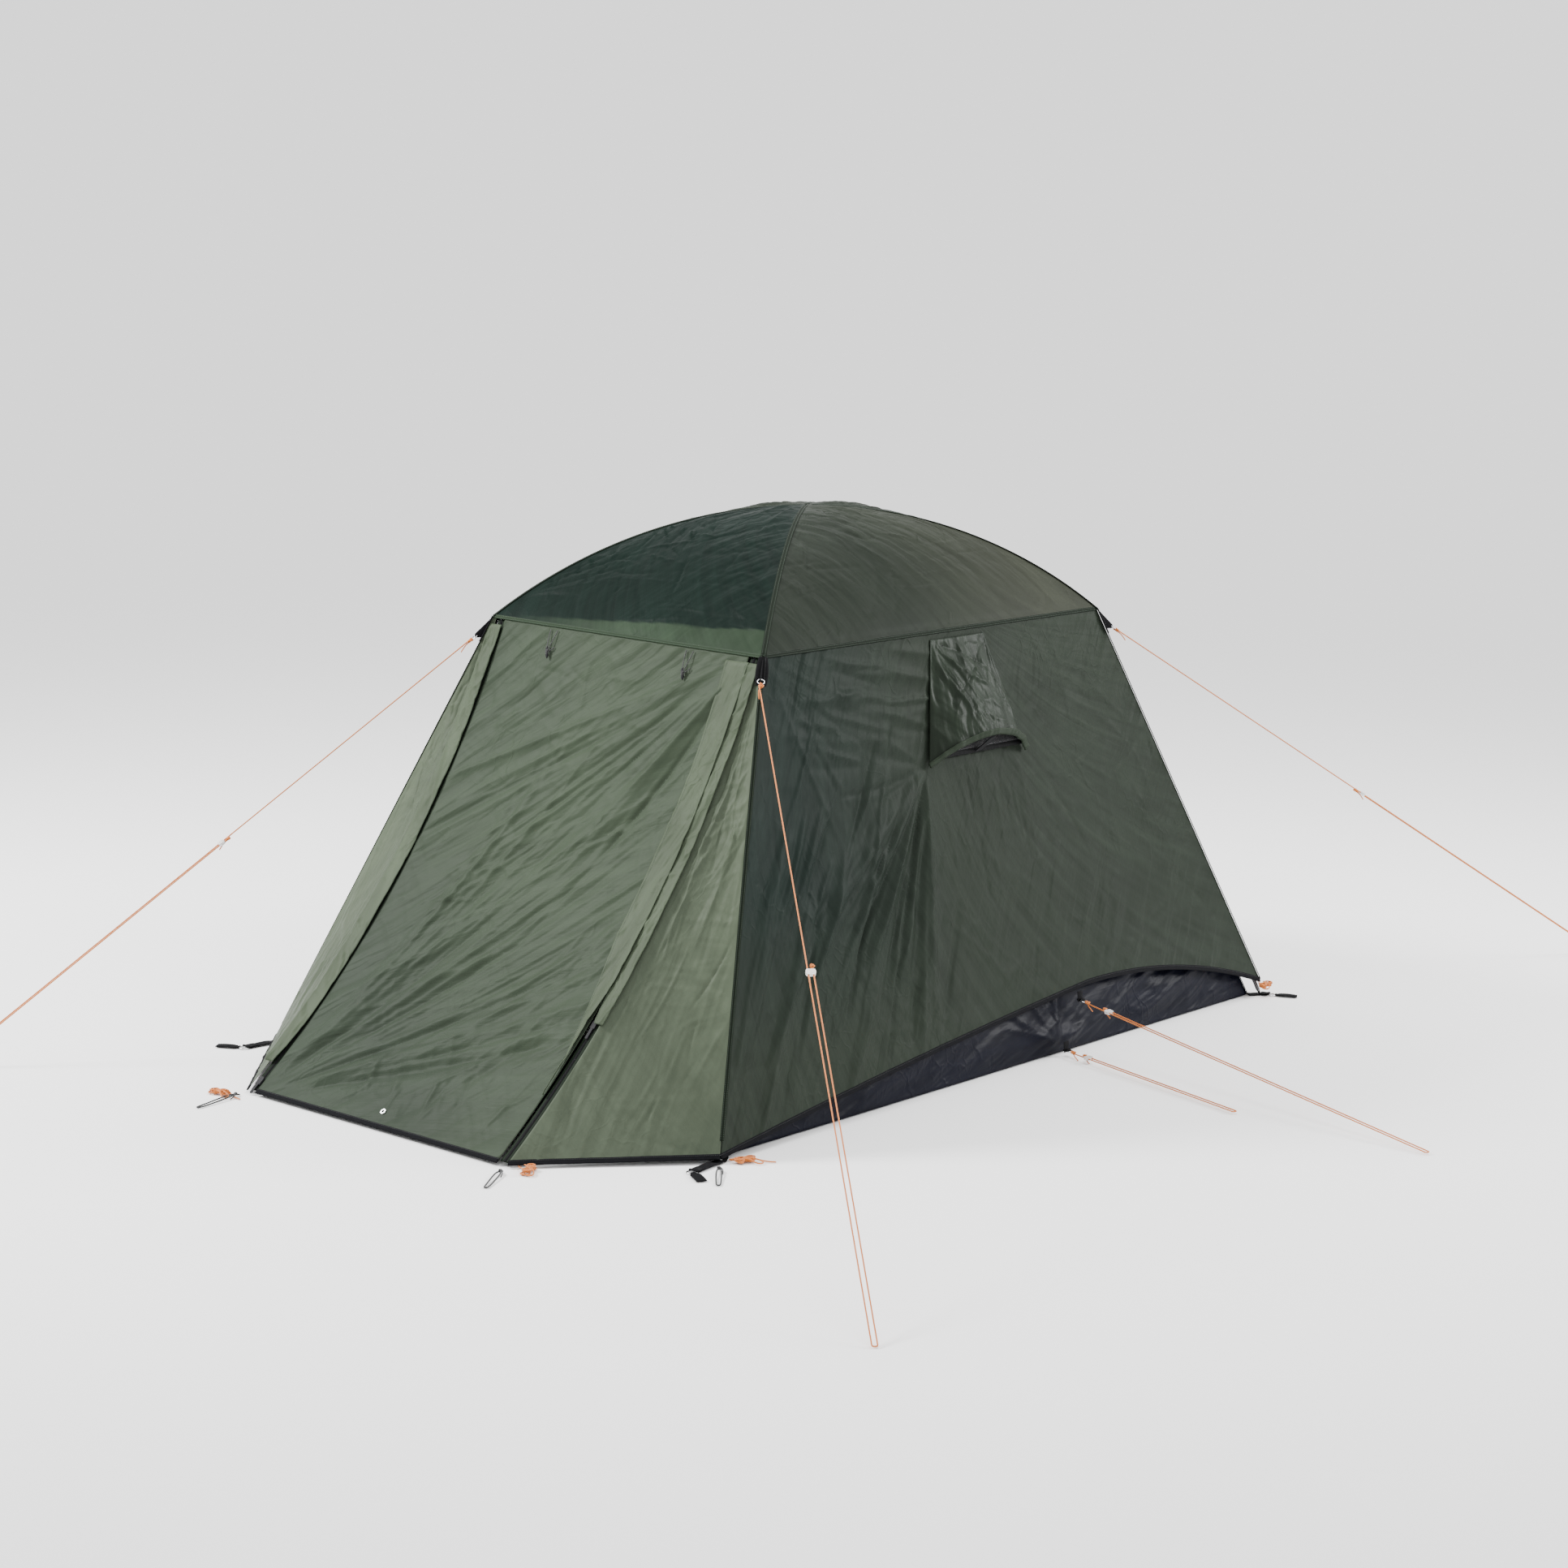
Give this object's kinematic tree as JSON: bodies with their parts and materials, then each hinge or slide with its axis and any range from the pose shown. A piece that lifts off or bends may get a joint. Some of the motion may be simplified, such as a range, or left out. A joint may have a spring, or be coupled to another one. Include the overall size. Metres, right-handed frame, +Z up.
{
  "type": "dome tent",
  "caption": "Small two-skin dome tent on two crossed bent poles, with a leaning porch door, arched side hem, side vent, inner cabin and taut guy lines.",
  "frame": {"origin": "underside of the floor at the middle of the sleeping cabin, on the ground", "axes": "+X to the right seen from the porch, -Y out through the porch door, +Z up; +Y is the long way of the tent"},
  "size_m": [2.8501, 4.0088, 1.3],
  "materials": {
    "roof_front_fabric": "coated polyester, satin",
    "roof_side_fabric": "coated polyester, satin",
    "wall_fabric": "coated polyester, satin",
    "door_fabric": "coated polyester, satin",
    "porch_side_fabric": "coated polyester, satin",
    "flap_fabric": "coated polyester, satin",
    "hood_fabric": "coated polyester, satin",
    "black_binding": "woven tape",
    "zip_tape": "woven tape with nylon coil",
    "zip_metal": "plated steel",
    "mesh": "fine knitted net",
    "black_plastic": "moulded nylon",
    "pole_fibre": "glass fibre tube",
    "pole_metal": "satin",
    "elastic": "braided cover",
    "tub_fabric": "coated heavy polyester",
    "inner_fabric": "breathable polyester",
    "orange_cord": "braided cord",
    "clear_plastic": "clear moulded"
  },
  "bodies": {
    "frame": {"cord_hank_back_right": "orange_cord", "cord_hank_front_right": "orange_cord", "cord_hank_porch_left": "orange_cord", "cord_hank_porch_right": "orange_cord", "corner_rings": "zip_metal", "corner_straps": "black_binding", "crown_clip": "black_plastic", "door_zip_left": "zip_tape", "door_zip_right": "zip_tape", "floor_tray": "tub_fabric", "fly_hem_binding": "black_binding", "fly_roof_back": "roof_side_fabric", "fly_roof_front": "roof_front_fabric", "fly_roof_left": "roof_side_fabric", "fly_roof_right": "roof_side_fabric", "fly_wall_back": "wall_fabric", "fly_wall_left": "wall_fabric", "fly_wall_right": "wall_fabric", "guy_gussets": "black_binding", "guy_line_back_right": "orange_cord", "guy_line_front_left": "orange_cord", "guy_line_front_right": "orange_cord", "guy_line_side_floor": "orange_cord", "guy_line_side_hem": "orange_cord", "guy_rings": "zip_metal", "inner_canopy": "inner_fabric", "inner_front": "inner_fabric", "inner_zip": "zip_tape", "leg_pole_back_left": "pole_fibre", "leg_pole_back_right": "pole_fibre", "leg_pole_front_left": "pole_fibre", "leg_pole_front_right": "pole_fibre", "peg_loops": "elastic", "pole_clips": "black_plastic", "pole_elbows": "pole_metal", "pole_tips": "pole_metal", "porch_side_left": "porch_side_fabric", "porch_side_right": "porch_side_fabric", "roof_pole_lower": "pole_fibre", "roof_pole_upper": "pole_fibre", "shock_cords": "elastic", "storm_flap_left": "flap_fabric", "storm_flap_right": "flap_fabric", "vent_hood": "hood_fabric", "vent_mesh": "mesh"},
    "porch_door": {"porch_door": "door_fabric", "door_binding": "black_binding", "door_eyelet": "zip_metal"},
    "toggle_right": {"tie_toggle_right": "black_plastic"},
    "toggle_left": {"tie_toggle_left": "black_plastic"},
    "zip_slider_right": {"zip_slider_right": "zip_metal"},
    "zip_slider_left": {"zip_slider_left": "zip_metal"},
    "inner_door": {"inner_door": "inner_fabric"},
    "inner_zip_slider": {"inner_zip_slider": "zip_metal"},
    "vent_strut": {"vent_strut": "black_plastic"},
    "line_lock_front_right": {"line_lock_front_right": "clear_plastic"},
    "line_lock_front_left": {"line_lock_front_left": "clear_plastic"},
    "line_lock_back_right": {"line_lock_back_right": "clear_plastic"},
    "line_lock_side_hem": {"line_lock_side_hem": "clear_plastic"},
    "line_lock_side_floor": {"line_lock_side_floor": "clear_plastic"}
  },
  "joints": [
    {"name": "porch_door_lift", "type": "hinge", "parent": "frame", "child": "porch_door", "pos_m": [0, -0.655, 1.034], "axis": [-1, 0, 0], "range_deg": [0, 75]},
    {"name": "toggle_swing_right", "type": "hinge", "parent": "porch_door", "child": "toggle_right", "pos_m": [0.215, -0.68159, 0.98706], "axis": [-1, 0, 0], "range_deg": [0, 60]},
    {"name": "toggle_swing_left", "type": "hinge", "parent": "porch_door", "child": "toggle_left", "pos_m": [-0.215, -0.68159, 0.98706], "axis": [-1, 0, 0], "range_deg": [0, 60]},
    {"name": "zip_travel_right", "type": "hinge", "parent": "frame", "child": "zip_slider_right", "pos_m": [0, -3.01511, 2.03956], "axis": [1, 0, 0], "range_deg": [-7.5, 19]},
    {"name": "zip_travel_left", "type": "hinge", "parent": "frame", "child": "zip_slider_left", "pos_m": [0, -3.01511, 2.03956], "axis": [1, 0, 0], "range_deg": [0, 27]},
    {"name": "inner_door_drop", "type": "hinge", "parent": "frame", "child": "inner_door", "pos_m": [0, -0.97584, 0.17531], "axis": [-1, 0, 0], "range_deg": [0, 75]},
    {"name": "inner_zip_travel", "type": "hinge", "parent": "frame", "child": "inner_zip_slider", "pos_m": [0, -0.87263, 0.41894], "axis": [0, -0.9186, 0.3953], "range_deg": [0, 247.8]},
    {"name": "vent_strut_fold", "type": "hinge", "parent": "frame", "child": "vent_strut", "pos_m": [0.5112, 0.06, 0.74773], "axis": [0, 1, 0], "range_deg": [0, 60]},
    {"name": "line_lock_slide_front_right", "type": "slide", "parent": "frame", "child": "line_lock_front_right", "axis": [0.6448, -0.5661, -0.5135], "range_m": [0, 0.5]},
    {"name": "line_lock_slide_front_left", "type": "slide", "parent": "frame", "child": "line_lock_front_left", "axis": [-0.3805, -0.6931, -0.6123], "range_m": [0, 0.5]},
    {"name": "line_lock_slide_back_right", "type": "slide", "parent": "frame", "child": "line_lock_back_right", "axis": [0.3468, 0.7859, -0.5119], "range_m": [0, 0.5]},
    {"name": "line_lock_slide_side_hem", "type": "slide", "parent": "frame", "child": "line_lock_side_hem", "axis": [0.9794, -0.171, -0.1075], "range_m": [0, 0.5]},
    {"name": "line_lock_slide_side_floor", "type": "slide", "parent": "frame", "child": "line_lock_side_floor", "axis": [0.9709, -0.2389, -0.014], "range_m": [0, 0.408]}
  ]
}
